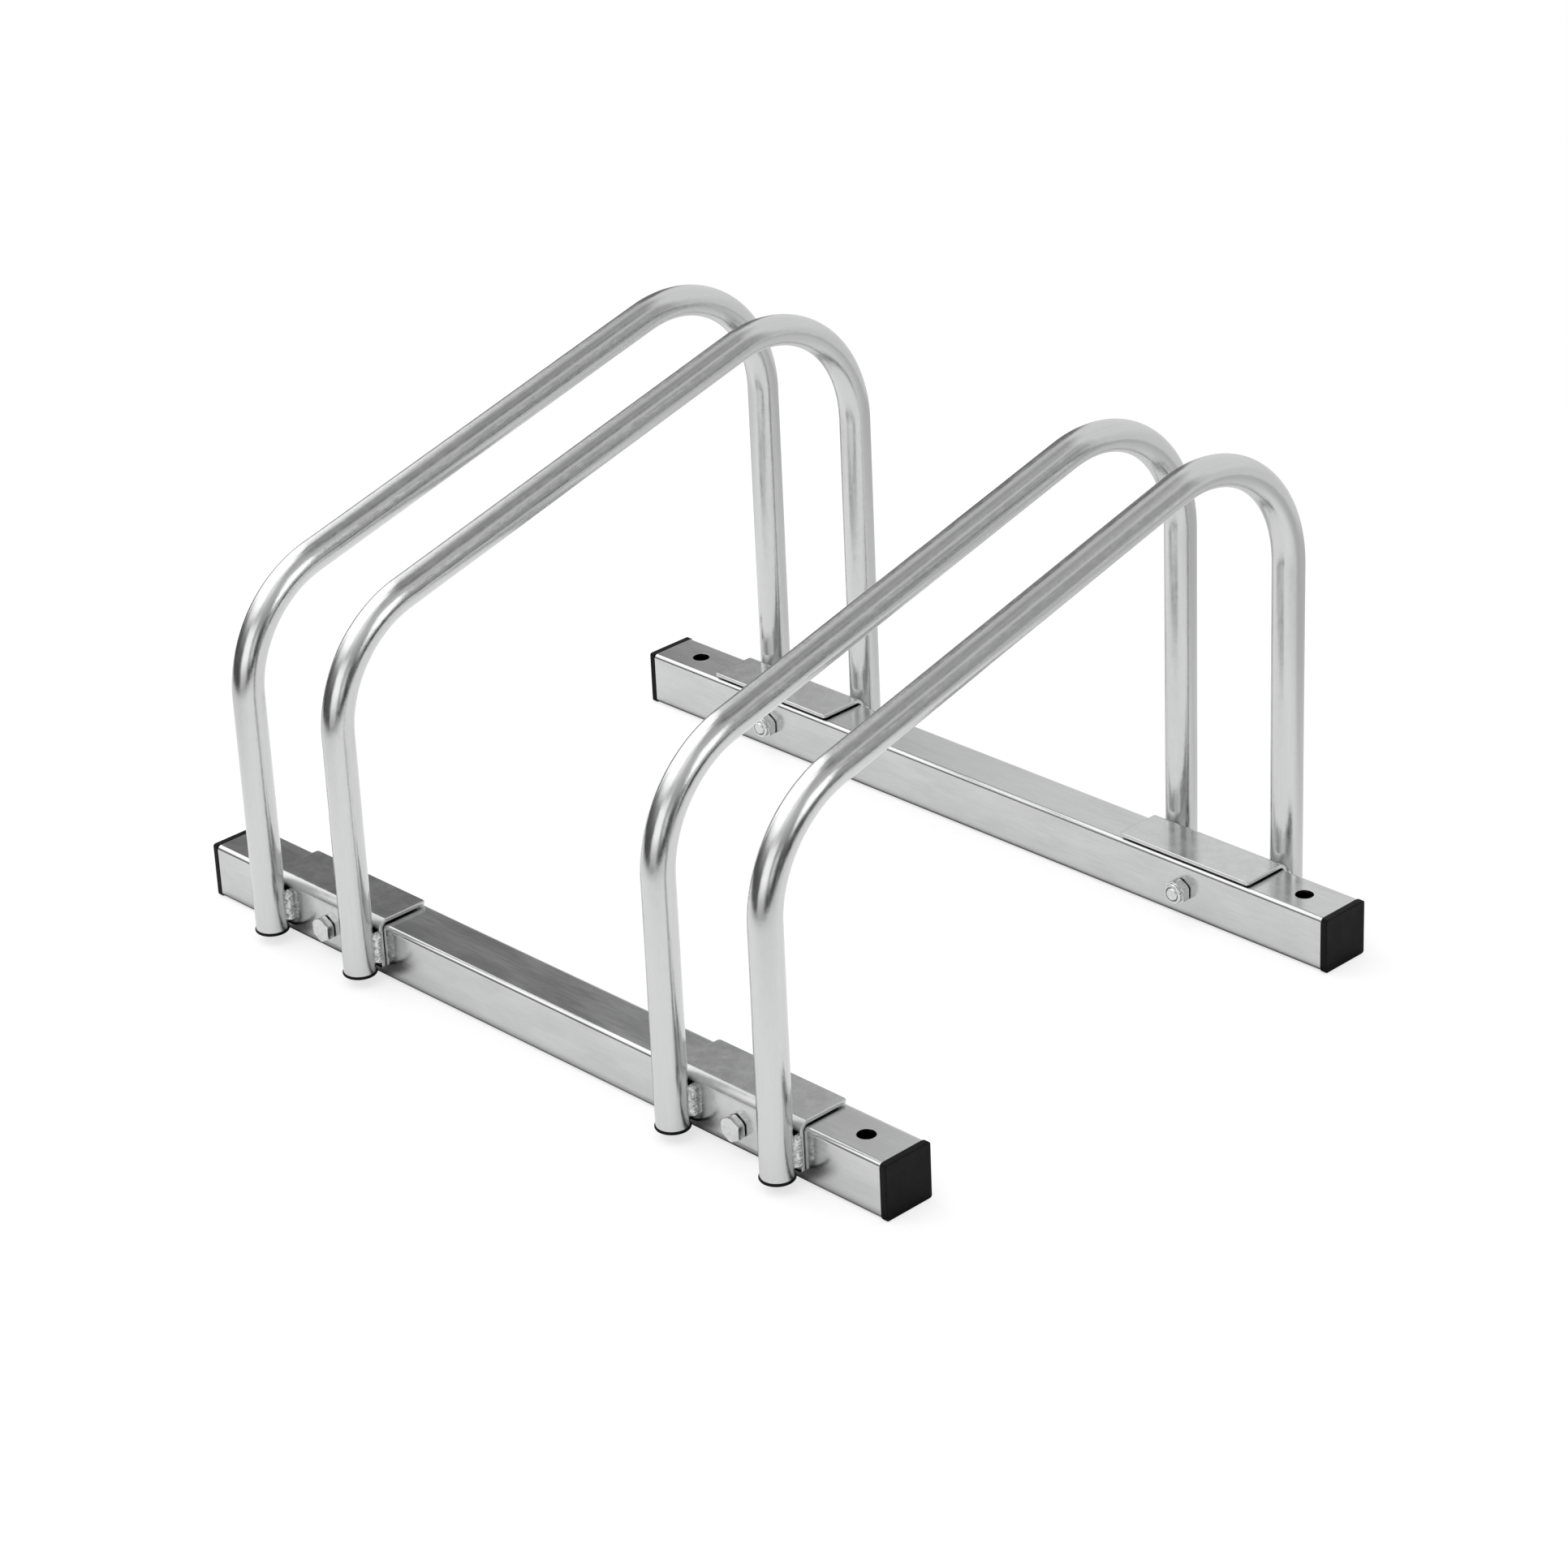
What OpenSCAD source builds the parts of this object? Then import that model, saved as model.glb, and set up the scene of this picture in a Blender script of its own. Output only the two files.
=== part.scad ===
// Floor bike rack for two bicycles. Four bent hoops stand in two pairs, welded to
// angle brackets that are bolted to two square floor rails.
// X runs along the rails, Y from the front rail to the rear rail, Z up from the floor.
// The origin is on the floor, in the middle of the rack.

/* [Floor rails] */
// Length of each square rail, without its plugs
rail_l = 405; // [360:5:600]
// Side of the square rail
rail_w = 25; // [22:0.5:30]
// Wall of the square rail
rail_wall = 1.5; // [1:0.1:2]
// Outer corner radius of the square rail
rail_corner_r = 2.2; // [2.1:0.1:3]
// Distance between the middles of the two rails
rail_pitch = 262; // [220:2:320]
// Bore of the four holes that fix the rack to the floor
fix_hole_d = 8; // [6:0.5:9]
// Distance from a fixing hole to the end of its rail
fix_hole_inset = 19; // [18.5:0.5:24]

/* [Rail plugs] */
// Thickness of the plug's head, outside the rail
plug_head_t = 3.2; // [2:0.1:6]
// Bevel round the head's outer face
plug_bevel = 0.4; // [0.2:0.1:1.2]
// Corner radius of the plug's head
plug_corner_r = 1.2; // [1:0.1:3]
// Length of the plug's shank, inside the rail
plug_shank_l = 12; // [8:1:13]
// Wall of the hollow shank
plug_wall = 1.6; // [1.2:0.1:2.2]
// How far the shank's ribs stand out
plug_rib_h = 0.8; // [0.5:0.1:1.2]
// Thickness of one rib
plug_rib_t = 1; // [0.8:0.1:1.4]
// Clearance between the ribs and the rail
plug_fit = 0.1; // [0.05:0.05:0.2]

/* [Hoops] */
// Outer diameter of the hoop tube
tube_d = 14; // [12:0.5:16]
// Wall of the hoop tube
tube_wall = 1.2; // [1:0.1:1.8]
// Height of the rack, to the top of the hoops
rack_h = 225; // [210:1:260]
// Rise of the hoops' straight top from front to rear, in degrees
slope_deg = 14.5; // [12:0.5:18]
// Radius of the front bend, at the tube's middle
front_bend_r = 53; // [45:1:60]
// Radius of the rear bend, at the tube's middle
rear_bend_r = 57; // [50:1:65]
// Distance between the middles of the two hoops of a pair
hoop_pitch = 59; // [54:1:80]
// Distance from a rail's end to the middle of a pair
pair_inset = 76.5; // [70:0.5:90]
// Clearance between a hoop and its bracket, bridged by the welds
weld_gap = 0.2; // [0.1:0.05:0.3]

/* [Tube caps] */
// Height of the caps' undersides above the floor
cap_clear = 4; // [2:0.5:5]
// Thickness of the cap's head
cap_head_t = 1.5; // [1:0.1:2]
// How far the cap's head stands out past the tube
cap_lip = 0.5; // [0.3:0.1:0.8]
// Length of the cap's shank, inside the tube
cap_shank_l = 12; // [8:1:16]
// Wall of the hollow shank
cap_wall = 1.2; // [1:0.1:1.6]
// How far the shank's ribs stand out
cap_rib_h = 0.5; // [0.3:0.1:0.8]
// Height of one rib
cap_rib_l = 1; // [0.6:0.1:1.4]
// Distance from one rib to the next
cap_rib_pitch = 3; // [2:0.5:4]
// Clearance between the cap's ribs and the tube
cap_fit = 0.1; // [0.05:0.05:0.2]

/* [Brackets] */
// Thickness of the bracket plate
bracket_t = 2; // [1.5:0.1:2.5]
// Inner radius of the bracket's bend
bracket_bend_r = 2; // [1.5:0.1:2.5]
// How far a bracket runs past the middle of a hoop
bracket_over = 6.5; // [6:0.5:12]
// Width of the bracket's top plate, from its outer face
bracket_top_w = 26; // [20:0.5:26.5]
// Height of the bracket's side plate, from its top face
bracket_side_h = 23; // [21:0.5:23.5]
// Radius of the plates' free corners
bracket_corner_r = 1; // [0.5:0.1:2]
// Gap between the top plate and the rail
bracket_gap = 0.9; // [0.5:0.1:1.2]

/* [Welds] */
// Radius of one weld ripple
bead_r = 2.5; // [2:0.1:3]
// Distance between ripples
bead_step = 2.1; // [1.5:0.1:2.6]
// Ripples in one bead
bead_count = 7; // [5:1:7]
// Height of the lowest ripple's middle above the floor
bead_z = 7.8; // [7.5:0.1:8.5]

/* [Bolts and nuts] */
// Diameter of the bolt's thread
bolt_d = 6; // [5:1:6]
// Width across the flats of the bolt's head and of the nut
hex_af = 10; // [9:1:11]
// Height of the bolt's head
head_h = 4; // [3.5:0.1:5]
// Clearance round the bolt in the rail and the bracket
bolt_hole_clear = 0.6; // [0.4:0.1:1]
// Height of the nut's hexagon
nut_hex_h = 4.2; // [3.5:0.1:5]
// Height of the collar that holds the nut's plastic ring
nut_collar_h = 2; // [1.6:0.1:2.5]
// How far the bolt's end stands out of the nut
bolt_proud = 0.3; // [0:0.1:2]
// Clearance between the thread and the nut
thread_fit = 0.05; // [0.02:0.01:0.1]

/* [Hidden] */
$fn = 64;

// Sides of the rack, as signs along X and Y
left = -1;
right = 1;
front = -1;
rear = 1;
outer = 1;
inner = -1;

// How far a cutter runs past the face that it cuts
past = 1;

// Rails
rail_y = rail_pitch / 2;
rail_out_y = rail_y + rail_w / 2;
rail_bore_w = rail_w - 2 * rail_wall;
rail_bore_r = rail_corner_r - rail_wall;

// Plugs
plug_rib_w = rail_bore_w - 2 * plug_fit;
plug_shank_w = plug_rib_w - 2 * plug_rib_h;
plug_ribs = 3;

// Hoops: the middle line lies in a plane of constant X
tube_r = tube_d / 2;
pair_pitch = rail_l - 2 * pair_inset;
hoop_y = rail_out_y + bracket_t + weld_gap + tube_r;
tube_end_z = cap_clear + cap_head_t;
rear_bend_y = hoop_y - rear_bend_r;
rear_bend_z = rack_h - tube_r - rear_bend_r;
front_bend_y = -hoop_y + front_bend_r;
front_bend_z = rear_bend_z - (rear_bend_y - front_bend_y) * tan(slope_deg)
    + (rear_bend_r - front_bend_r) / cos(slope_deg);
straight_l = (rear_bend_y - front_bend_y) / cos(slope_deg)
    - (rear_bend_r - front_bend_r) * tan(slope_deg);

// The marks that the bending tool leaves at the ends of the straight top
band_t = 0.05;
band_l = 0.4;

// Caps
cap_head_r = tube_r + cap_lip;
cap_rib_r = tube_r - tube_wall - cap_fit;
cap_round = cap_head_t / 2;

// Brackets
bracket_l = hoop_pitch + 2 * bracket_over;
bracket_out_y = rail_out_y + bracket_t;
bracket_top_z = rail_w + bracket_gap + bracket_t;
bend_out_r = bracket_bend_r + bracket_t;

// Welds: a ripple's middle lies in the valley between tube and plate
bead_off = bead_r * 0.4;
bead_sink = bead_r * 0.6;
bead_dy = tube_r + weld_gap - bead_off;
bead_dx = sqrt(pow(tube_r + bead_r - bead_sink, 2) - pow(bead_dy, 2));

// Bolts and nuts
bolt_z = rail_w / 2;
bolt_hole_d = bolt_d + bolt_hole_clear;
hex_r = hex_af / 2 / cos(30);
hex_chamfer = (hex_r - hex_af / 2) * tan(30);
hex_face_inset = 0.25;
hex_face_r = hex_af / 2 - hex_face_inset;
nut_h = nut_hex_h + nut_collar_h;
nut_bore_r = bolt_d / 2 + thread_fit;
collar_inset = 0.4;
collar_r = hex_af / 2 - collar_inset;
collar_round = 1;
ring_w = 0.75;
ring_r = bolt_d / 2 + ring_w;
ring_h = 1.2;
ring_lip = 0.4;
ring_z = nut_h - ring_lip - ring_h;
bolt_l = bracket_t + rail_w + nut_h + bolt_proud;
bolt_end_chamfer = 0.6;

// A square with round corners, centred
module round_square(w, r) {
    square([w, w - 2 * r], center = true);
    square([w - 2 * r, w], center = true);
    for (sx = [-1, 1])
        for (sy = [-1, 1])
            translate([sx * (w / 2 - r), sy * (w / 2 - r)])
                circle(r);
}

// A rectangle from x0 to x1 and down from y = 0 to -h, with its two lower corners round
module tongue(x0, x1, h, r) {
    translate([x0, -h + r])
        square([x1 - x0, h - r]);
    translate([x0 + r, -h])
        square([x1 - x0 - 2 * r, h]);
    for (x = [x0 + r, x1 - r])
        translate([x, -h + r])
            circle(r);
}

module rail(side) {
    color("lightgray")
    translate([0, side * rail_y, rail_w / 2])
        difference() {
            rotate([90, 0, 90])
                linear_extrude(rail_l, center = true)
                    round_square(rail_w, rail_corner_r);
            rotate([90, 0, 90])
                linear_extrude(rail_l + 2 * past, center = true)
                    round_square(rail_bore_w, rail_bore_r);
            for (end = [left, right])
                translate([end * (rail_l / 2 - fix_hole_inset), 0, 0])
                    cylinder(h = rail_w + 2 * past, d = fix_hole_d, center = true);
            for (pair = [left, right])
                translate([pair * pair_pitch / 2, 0, bolt_z - rail_w / 2])
                    rotate([90, 0, 0])
                        cylinder(h = rail_w + 2 * past, d = bolt_hole_d, center = true);
        }
}

// The plug stands on its head's inner face: the shank runs down, the head up
module plug_body() {
    difference() {
        union() {
            linear_extrude(plug_head_t - plug_bevel)
                round_square(rail_w, plug_corner_r);
            translate([0, 0, plug_head_t - plug_bevel])
                plug_bevelled_face();
            translate([0, 0, -plug_shank_l])
                linear_extrude(plug_shank_l)
                    round_square(plug_shank_w, rail_bore_r);
            for (i = [0 : plug_ribs - 1])
                translate([0, 0, -plug_shank_l + i * plug_shank_l / plug_ribs + plug_rib_t])
                    linear_extrude(plug_rib_t)
                        round_square(plug_rib_w, rail_bore_r);
        }
        translate([0, 0, -plug_shank_l - past])
            linear_extrude(plug_shank_l + past)
                round_square(plug_shank_w - 2 * plug_wall, rail_bore_r);
    }
}

// Two wedges crossed: each bevels one pair of the head's edges
module plug_bevelled_face() {
    intersection() {
        linear_extrude(plug_bevel)
            round_square(rail_w, plug_corner_r);
        plug_wedge();
        rotate([0, 0, 90])
            plug_wedge();
    }
}

module plug_wedge() {
    rotate([90, 0, 0])
        linear_extrude(rail_w, center = true)
            polygon([
                [-rail_w / 2, 0],
                [rail_w / 2, 0],
                [rail_w / 2 - plug_bevel, plug_bevel],
                [-rail_w / 2 + plug_bevel, plug_bevel]
            ]);
}

module rail_plug(side, end) {
    color("#1c1c1c")
    translate([end * rail_l / 2, side * rail_y, rail_w / 2])
        rotate([0, end * 90, 0])
            plug_body();
}

// A rod or bore of radius r along the hoop's middle line, run on by extra at both ends
module hoop_sweep(r, extra) {
    translate([0, -hoop_y, tube_end_z - extra])
        cylinder(h = front_bend_z - tube_end_z + extra, r = r);
    translate([0, hoop_y, tube_end_z - extra])
        cylinder(h = rear_bend_z - tube_end_z + extra, r = r);
    translate([0, front_bend_y, front_bend_z])
        mirror([0, 1, 0])
            bend(r, front_bend_r, 90 - slope_deg);
    translate([0, rear_bend_y, rear_bend_z])
        bend(r, rear_bend_r, 90 + slope_deg);
    translate([0, front_bend_y, front_bend_z])
        rotate([slope_deg, 0, 0])
            translate([0, 0, front_bend_r])
                rotate([-90, 0, 0])
                    sloped_run(r);
}

// Part of a ring in the plane of Y and Z, from +Y towards +Z
module bend(r, bend_r, turn) {
    rotate([90, 0, 90])
        rotate_extrude(angle = turn)
            translate([bend_r, 0])
                circle(r);
}

// The straight top of the hoop, with a thin band at each end that ties it to the bend
module sloped_run(r) {
    cylinder(h = straight_l, r = r);
    for (z = [0, straight_l])
        translate([0, 0, z])
            cylinder(h = band_l, r = r + band_t, center = true);
}

module hoop(pair, place) {
    color("silver")
    translate([pair * (pair_pitch / 2 + place * hoop_pitch / 2), 0, 0])
        difference() {
            hoop_sweep(tube_r, 0);
            hoop_sweep(tube_r - tube_wall, past);
        }
}

module cap(side, pair, place) {
    color("#1c1c1c")
    translate([pair * (pair_pitch / 2 + place * hoop_pitch / 2), side * hoop_y, cap_clear])
        union() {
            rotate_extrude() {
                square([cap_head_r - cap_round, cap_head_t]);
                translate([cap_head_r - cap_round, cap_round])
                    circle(cap_round);
            }
            translate([0, 0, cap_head_t])
                rotate_extrude() {
                    translate([cap_rib_r - cap_rib_h - cap_wall, 0])
                        square([cap_wall, cap_shank_l]);
                    for (z = [cap_rib_l : cap_rib_pitch : cap_shank_l - cap_rib_l])
                        translate([cap_rib_r - cap_rib_h - cap_wall / 2, z])
                            square([cap_rib_h + cap_wall / 2, cap_rib_l]);
                }
        }
}

// The bracket's section in Y and Z, with its outer face at y = 0 and its top at z = 0
module bracket_section() {
    translate([bend_out_r, -bracket_t])
        square([bracket_top_w - bend_out_r, bracket_t]);
    translate([0, -bracket_side_h])
        square([bracket_t, bracket_side_h - bend_out_r]);
    intersection() {
        translate([bend_out_r, -bend_out_r])
            difference() {
                circle(bend_out_r);
                circle(bracket_bend_r);
            }
        translate([0, -bend_out_r])
            square(bend_out_r);
    }
}

// The front bracket, with the middle of its outer top edge at the origin
module bracket_body() {
    intersection() {
        rotate([90, 0, 90])
            linear_extrude(bracket_l, center = true)
                bracket_section();
        mirror([0, 1, 0])
            translate([0, 0, -bracket_side_h])
                linear_extrude(bracket_side_h)
                    tongue(-bracket_l / 2, bracket_l / 2, bracket_top_w, bracket_corner_r);
        translate([0, bracket_top_w, 0])
            rotate([90, 0, 0])
                linear_extrude(bracket_top_w)
                    tongue(-bracket_l / 2, bracket_l / 2, bracket_side_h, bracket_corner_r);
    }
}

// Turns a piece that is made for the front rail to face either way
module at_side(side) {
    if (side == front)
        children();
    else
        mirror([0, 1, 0])
            children();
}

module bracket(side, pair) {
    color("silver")
    at_side(side)
        difference() {
            translate([pair * pair_pitch / 2, -bracket_out_y, bracket_top_z])
                bracket_body();
            translate([pair * pair_pitch / 2, -rail_out_y, bolt_z])
                rotate([90, 0, 0])
                    cylinder(h = 2 * (bracket_t + past), d = bolt_hole_d, center = true);
        }
}

// One bead: a row of ripples, cut back to the tube and to the plate
module bead(dx) {
    difference() {
        for (i = [0 : bead_count - 1])
            translate([dx, bead_dy, bead_z + i * bead_step])
                sphere(bead_r);
        cylinder(h = 2 * rail_w, r = tube_r);
        translate([-bracket_l, tube_r + weld_gap, 0])
            cube([2 * bracket_l, rail_w, 2 * rail_w]);
    }
}

module welds(side, pair) {
    color("gainsboro")
    at_side(side)
        for (place = [inner, outer])
            for (dx = [-bead_dx, bead_dx])
                translate([pair * (pair_pitch / 2 + place * hoop_pitch / 2), -hoop_y, 0])
                    bead(dx);
}

// A hexagon of height h with both of its ends chamfered
module hex_body(h) {
    intersection() {
        cylinder(h = h, r = hex_r, $fn = 6);
        rotate_extrude()
            polygon([
                [0, 0],
                [hex_face_r, 0],
                [hex_r, hex_chamfer],
                [hex_r, h - hex_chamfer],
                [hex_face_r, h],
                [0, h]
            ]);
    }
}

module bolt(side, pair) {
    color("silver")
    at_side(side)
        translate([pair * pair_pitch / 2, -bracket_out_y, bolt_z])
            rotate([90, 0, 0]) {
                hex_body(head_h);
                rotate([180, 0, 0])
                    rotate_extrude()
                        polygon([
                            [0, 0],
                            [bolt_d / 2, 0],
                            [bolt_d / 2, bolt_l - bolt_end_chamfer],
                            [bolt_d / 2 - bolt_end_chamfer, bolt_l],
                            [0, bolt_l]
                        ]);
            }
}

// Puts a nut's piece on the rail's inner face, with its collar away from the rail
module at_nut(side, pair) {
    at_side(side)
        translate([pair * pair_pitch / 2, -rail_out_y + rail_w, bolt_z])
            rotate([-90, 0, 0])
                children();
}

module nut(side, pair) {
    color("silver")
    at_nut(side, pair)
        difference() {
            union() {
                hex_body(nut_hex_h);
                rotate_extrude() {
                    square([collar_r - collar_round, nut_h]);
                    square([collar_r, nut_h - collar_round]);
                    translate([collar_r - collar_round, nut_h - collar_round])
                        circle(collar_round);
                }
            }
            translate([0, 0, -past])
                cylinder(h = nut_h + 2 * past, r = nut_bore_r);
            translate([0, 0, ring_z])
                cylinder(h = ring_h, r = ring_r);
        }
}

module nut_ring(side, pair) {
    color("whitesmoke")
    at_nut(side, pair)
        translate([0, 0, ring_z])
            difference() {
                cylinder(h = ring_h, r = ring_r);
                translate([0, 0, -past])
                    cylinder(h = ring_h + 2 * past, r = nut_bore_r);
            }
}

rail(front);  // front_rail
rail(rear);  // rear_rail
rail_plug(front, left);  // rail_plug_front_left
rail_plug(front, right);  // rail_plug_front_right
rail_plug(rear, left);  // rail_plug_rear_left
rail_plug(rear, right);  // rail_plug_rear_right
hoop(left, outer);  // hoop_left_outer
hoop(left, inner);  // hoop_left_inner
hoop(right, inner);  // hoop_right_inner
hoop(right, outer);  // hoop_right_outer
cap(front, left, outer);  // cap_front_left_outer
cap(front, left, inner);  // cap_front_left_inner
cap(front, right, inner);  // cap_front_right_inner
cap(front, right, outer);  // cap_front_right_outer
cap(rear, left, outer);  // cap_rear_left_outer
cap(rear, left, inner);  // cap_rear_left_inner
cap(rear, right, inner);  // cap_rear_right_inner
cap(rear, right, outer);  // cap_rear_right_outer
bracket(front, left);  // bracket_front_left
bracket(front, right);  // bracket_front_right
bracket(rear, left);  // bracket_rear_left
bracket(rear, right);  // bracket_rear_right
welds(front, left);  // welds_front_left
welds(front, right);  // welds_front_right
welds(rear, left);  // welds_rear_left
welds(rear, right);  // welds_rear_right
bolt(front, left);  // bolt_front_left
bolt(front, right);  // bolt_front_right
bolt(rear, left);  // bolt_rear_left
bolt(rear, right);  // bolt_rear_right
nut(front, left);  // nut_front_left
nut(front, right);  // nut_front_right
nut(rear, left);  // nut_rear_left
nut(rear, right);  // nut_rear_right
nut_ring(front, left);  // nut_ring_front_left
nut_ring(front, right);  // nut_ring_front_right
nut_ring(rear, left);  // nut_ring_rear_left
nut_ring(rear, right);  // nut_ring_rear_right
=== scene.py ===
# Floor bike rack: finish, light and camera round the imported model.
# Metres throughout. X runs along the rails, Y from the front rail to the rear rail, Z up.
import math

import bmesh
import bpy
from mathutils import Matrix, Vector, noise


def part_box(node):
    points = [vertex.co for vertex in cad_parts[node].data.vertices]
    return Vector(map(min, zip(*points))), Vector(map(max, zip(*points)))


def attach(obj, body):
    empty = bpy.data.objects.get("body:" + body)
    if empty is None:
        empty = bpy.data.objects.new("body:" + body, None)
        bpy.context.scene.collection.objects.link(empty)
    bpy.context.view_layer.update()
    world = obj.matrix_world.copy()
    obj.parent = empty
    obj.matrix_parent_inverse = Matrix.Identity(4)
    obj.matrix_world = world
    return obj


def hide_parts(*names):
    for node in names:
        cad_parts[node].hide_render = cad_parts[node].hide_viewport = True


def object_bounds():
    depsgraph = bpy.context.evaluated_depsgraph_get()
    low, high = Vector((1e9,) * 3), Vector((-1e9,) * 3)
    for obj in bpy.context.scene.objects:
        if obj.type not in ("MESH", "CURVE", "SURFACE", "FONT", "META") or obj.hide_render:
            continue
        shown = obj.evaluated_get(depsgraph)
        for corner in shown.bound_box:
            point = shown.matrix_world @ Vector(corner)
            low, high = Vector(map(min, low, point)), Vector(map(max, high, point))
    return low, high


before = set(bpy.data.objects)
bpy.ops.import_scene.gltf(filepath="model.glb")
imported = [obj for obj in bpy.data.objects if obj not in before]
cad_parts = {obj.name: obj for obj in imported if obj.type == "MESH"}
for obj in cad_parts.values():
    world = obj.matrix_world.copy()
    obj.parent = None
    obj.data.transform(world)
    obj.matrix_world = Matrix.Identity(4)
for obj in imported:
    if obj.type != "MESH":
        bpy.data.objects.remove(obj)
cadBox = [list(corner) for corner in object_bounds()]
print("frame loaded")

ends = {"left": -1, "right": 1}
sides = {"front": -1, "rear": 1}
corners = [(side, end) for side in sides for end in ends]
hoopNames = ["left_outer", "left_inner", "right_inner", "right_outer"]


# Camera, at the photograph's viewing angle

camera = {
    "azimuth": 46.614,  # degrees, as every angle here
    "elevation": 26.216,
    "roll": 2.649,
    "distance": 1.9746,  # from the frame's origin, along the view
    "lens": 105.393,  # mm, on a sensor 36 mm wide
    "sensor": 36.0,
    "sees": 50,  # how far it sees
    "imagePixels": 1932,
    "originPixel": (958.431, 1137.139),  # where the frame's origin shows
}


def addCamera():
    turn = math.radians(camera["azimuth"])
    tilt = math.radians(camera["elevation"])
    roll = math.radians(camera["roll"])
    back = Vector((math.sin(turn) * math.cos(tilt), -math.cos(turn) * math.cos(tilt), math.sin(tilt)))
    levelRight = (-back).cross(Vector((0, 0, 1))).normalized()
    levelDown = (-back).cross(levelRight)
    right = math.cos(roll) * levelRight + math.sin(roll) * levelDown
    down = math.cos(roll) * levelDown - math.sin(roll) * levelRight
    pixelFocal = camera["lens"] / camera["sensor"] * camera["imagePixels"]
    middle = camera["imagePixels"] / 2
    offX = (camera["originPixel"][0] - middle) / pixelFocal * camera["distance"]
    offY = (camera["originPixel"][1] - middle) / pixelFocal * camera["distance"]
    data = bpy.data.cameras.new("photoCamera")
    data.lens = camera["lens"]
    data.sensor_width = camera["sensor"]
    data.clip_end = camera["sees"]
    obj = bpy.data.objects.new("photoCamera", data)
    bpy.context.scene.collection.objects.link(obj)
    axes = Matrix((right, -down, back)).transposed().to_4x4()
    axes.translation = back * camera["distance"] - right * offX - down * offY
    obj.matrix_world = axes
    bpy.context.scene.camera = obj


addCamera()
print("camera placed")


# Node helpers

def newMaterial(name):
    material = bpy.data.materials.new(name)
    material.use_nodes = True
    material.node_tree.nodes.clear()
    return material, material.node_tree


def addNode(tree, kind, **settings):
    node = tree.nodes.new(kind)
    for key, value in settings.items():
        setattr(node, key, value)
    return node


def mathNode(tree, operation, first, second=0.0, third=None):
    node = addNode(tree, "ShaderNodeMath", operation=operation)
    for index, value in enumerate((first, second, third)):
        if value is None:
            continue
        if isinstance(value, (int, float)):
            node.inputs[index].default_value = value
        else:
            tree.links.new(value, node.inputs[index])
    return node.outputs[0]


def remap(tree, value, fromLow, fromHigh, toLow, toHigh, smooth=False):
    node = addNode(tree, "ShaderNodeMapRange")
    if smooth:
        node.interpolation_type = "SMOOTHSTEP"
    tree.links.new(value, node.inputs["Value"])
    node.inputs["From Min"].default_value = fromLow
    node.inputs["From Max"].default_value = fromHigh
    node.inputs["To Min"].default_value = toLow
    node.inputs["To Max"].default_value = toHigh
    return node.outputs["Result"]


def blendColors(tree, factor, first, second):
    node = addNode(tree, "ShaderNodeMix", data_type="RGBA")
    tree.links.new(factor, node.inputs["Factor"])
    # sockets 6, 7 and 2 are the ones for colours
    for socket, value in ((node.inputs[6], first), (node.inputs[7], second)):
        if isinstance(value, tuple):
            socket.default_value = (*value, 1)
        else:
            tree.links.new(value, socket)
    return node.outputs[2]


def noiseField(tree, coordinate, scale, detail, roughness, stretch=(1, 1, 1)):
    mapping = addNode(tree, "ShaderNodeMapping")
    mapping.inputs["Scale"].default_value = stretch
    tree.links.new(coordinate, mapping.inputs["Vector"])
    field = addNode(tree, "ShaderNodeTexNoise")
    field.inputs["Scale"].default_value = scale
    field.inputs["Detail"].default_value = detail
    field.inputs["Roughness"].default_value = roughness
    tree.links.new(mapping.outputs[0], field.inputs["Vector"])
    return field.outputs["Fac"]


def objectCoordinate(tree):
    return addNode(tree, "ShaderNodeTexCoord").outputs["Object"]


def attributeCoordinate(tree, name):
    return addNode(tree, "ShaderNodeAttribute", attribute_name=name).outputs["Vector"]


def bumpFrom(tree, height, distance, under=None):
    bump = addNode(tree, "ShaderNodeBump")
    bump.inputs["Distance"].default_value = distance
    tree.links.new(height, bump.inputs["Height"])
    if under is not None:
        tree.links.new(under, bump.inputs["Normal"])
    return bump.outputs["Normal"]


def finishShader(tree, **sockets):
    shader = addNode(tree, "ShaderNodeBsdfPrincipled")
    for name, value in sockets.items():
        socket = shader.inputs[name.replace("_", " ")]
        if isinstance(value, bpy.types.NodeSocket):
            tree.links.new(value, socket)
        else:
            socket.default_value = value
    output = addNode(tree, "ShaderNodeOutputMaterial")
    tree.links.new(shader.outputs[0], output.inputs["Surface"])


# Studio: a pale floor, a white surround for the camera, and soft windows of light

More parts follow.
